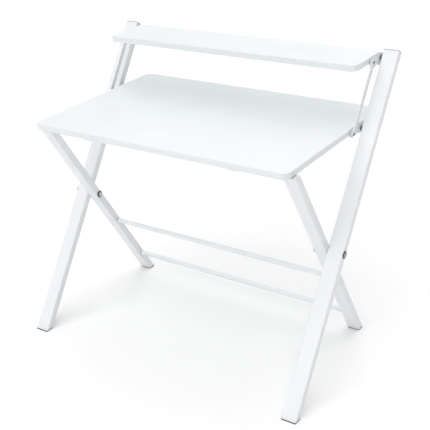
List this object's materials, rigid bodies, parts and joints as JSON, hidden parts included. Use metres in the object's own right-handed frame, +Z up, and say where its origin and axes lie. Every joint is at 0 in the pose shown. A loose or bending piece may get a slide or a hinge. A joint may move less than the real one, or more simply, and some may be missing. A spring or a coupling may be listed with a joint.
{
  "type": "folding desk",
  "caption": "Folding desk with crossed tube legs, a rounded desktop and a raised rear shelf that swing up together on parallel links so that it folds nearly flat.",
  "frame": {"origin": "floor level under the centre of the desk's bounding box", "axes": "+Z up, +X to the right of the sitter, -Y towards the sitter"},
  "size_m": [1.0162, 0.656, 0.9116],
  "materials": {
    "frame_paint": "satin powder coat",
    "board_laminate": "white melamine on particle board",
    "edge_band": "white edge band",
    "foot_plastic": "moulded",
    "sole_rubber": "matt",
    "cap_plastic": "moulded",
    "saddle_plastic": "moulded",
    "bracket_paint": "satin powder coat",
    "link_paint": "satin powder coat",
    "fastener_steel": "zinc plated"
  },
  "bodies": {
    "long_legs": {"left_long_leg": "frame_paint", "right_long_leg": "frame_paint", "left_long_leg_foot": "foot_plastic", "right_long_leg_foot": "foot_plastic", "left_long_leg_sole": "sole_rubber", "right_long_leg_sole": "sole_rubber", "left_long_leg_cap": "cap_plastic", "right_long_leg_cap": "cap_plastic", "cross_bolts": "fastener_steel", "cross_nuts": "fastener_steel", "cross_spacers": "saddle_plastic", "desk_pivot_studs": "fastener_steel", "shelf_pivot_studs": "fastener_steel"},
    "rear_frame": {"left_short_leg": "frame_paint", "right_short_leg": "frame_paint", "left_short_leg_foot": "foot_plastic", "right_short_leg_foot": "foot_plastic", "left_short_leg_sole": "sole_rubber", "right_short_leg_sole": "sole_rubber", "left_short_leg_cap": "cap_plastic", "right_short_leg_cap": "cap_plastic", "upper_rod": "frame_paint", "lower_rod": "frame_paint", "front_rail": "frame_paint", "cross_sleeves": "fastener_steel"},
    "desktop": {"desk_board": "board_laminate", "desk_edge_band": "edge_band", "left_desk_bracket": "bracket_paint", "right_desk_bracket": "bracket_paint", "desk_bracket_screws": "fastener_steel", "left_rest_saddle": "saddle_plastic", "right_rest_saddle": "saddle_plastic", "saddle_screws": "fastener_steel", "desk_link_rivets": "fastener_steel"},
    "shelf": {"shelf_board": "board_laminate", "shelf_edge_band": "edge_band", "left_shelf_bracket": "bracket_paint", "right_shelf_bracket": "bracket_paint", "shelf_bracket_screws": "fastener_steel", "shelf_link_rivets": "fastener_steel"},
    "left_link": {"left_link": "link_paint"},
    "right_link": {"right_link": "link_paint"}
  },
  "joints": [
    {"name": "desk_fold", "type": "hinge", "parent": "long_legs", "child": "desktop", "pos_m": [0, 0.18093, 0.709], "axis": [-1, 0, 0], "range_deg": [0, 105]},
    {"name": "shelf_fold", "type": "hinge", "parent": "long_legs", "child": "shelf", "pos_m": [0, 0.30395, 0.886], "axis": [-1, 0, 0], "range_deg": [0, 105]},
    {"name": "left_link_swing", "type": "hinge", "parent": "desktop", "child": "left_link", "pos_m": [0, 0.12293, 0.709], "axis": [-1, 0, 0], "range_deg": [-105, 0]},
    {"name": "right_link_swing", "type": "hinge", "parent": "desktop", "child": "right_link", "pos_m": [0, 0.12293, 0.709], "axis": [-1, 0, 0], "range_deg": [-105, 0]},
    {"name": "rear_frame_close", "type": "hinge", "parent": "long_legs", "child": "rear_frame", "pos_m": [0, -0.03105, 0.404], "axis": [-1, 0, 0], "range_deg": [0, 57]}
  ],
  "couplings": [
    {"joint": "shelf_fold", "follows": "desk_fold", "ratio": 1},
    {"joint": "left_link_swing", "follows": "desk_fold", "ratio": -1},
    {"joint": "right_link_swing", "follows": "desk_fold", "ratio": -1},
    {"joint": "rear_frame_close", "follows": "desk_fold", "ratio": 0.5428}
  ]
}
